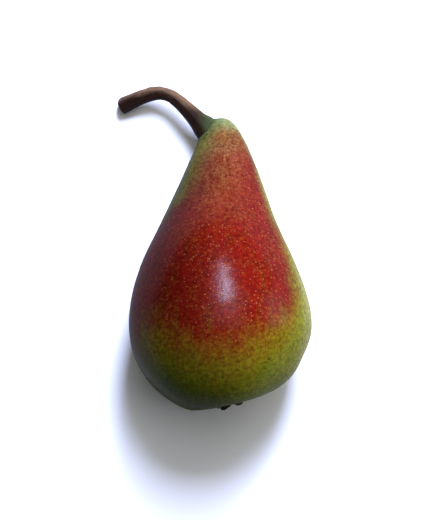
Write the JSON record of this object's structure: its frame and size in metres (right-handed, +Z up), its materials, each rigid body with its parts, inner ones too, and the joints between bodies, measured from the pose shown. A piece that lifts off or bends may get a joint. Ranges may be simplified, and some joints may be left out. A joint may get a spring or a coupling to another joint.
{
  "type": "pear",
  "caption": "Ripe pear lying on its side, red over yellow-green, with a bent woody stem and the dried flower remains in its basin.",
  "frame": {"origin": "on the surface that the pear lies on, in the middle of the small flat spot under its belly", "axes": "+Z up, +Y along the pear from the belly towards its neck, -X the side that the stem bends to"},
  "size_m": [0.0675, 0.1118, 0.0617],
  "materials": {
    "skin": "smooth waxy fruit skin with a soft gloss, red blush over yellow-green, fine pale dots",
    "stem_bark": "dull grey-brown bark, finely wrinkled lengthwise",
    "dried_sepals": "dry and dull, nearly black brown"
  },
  "bodies": {
    "root": {"fruit": "skin", "stem": "stem_bark", "calyx": "dried_sepals"}
  },
  "joints": []
}
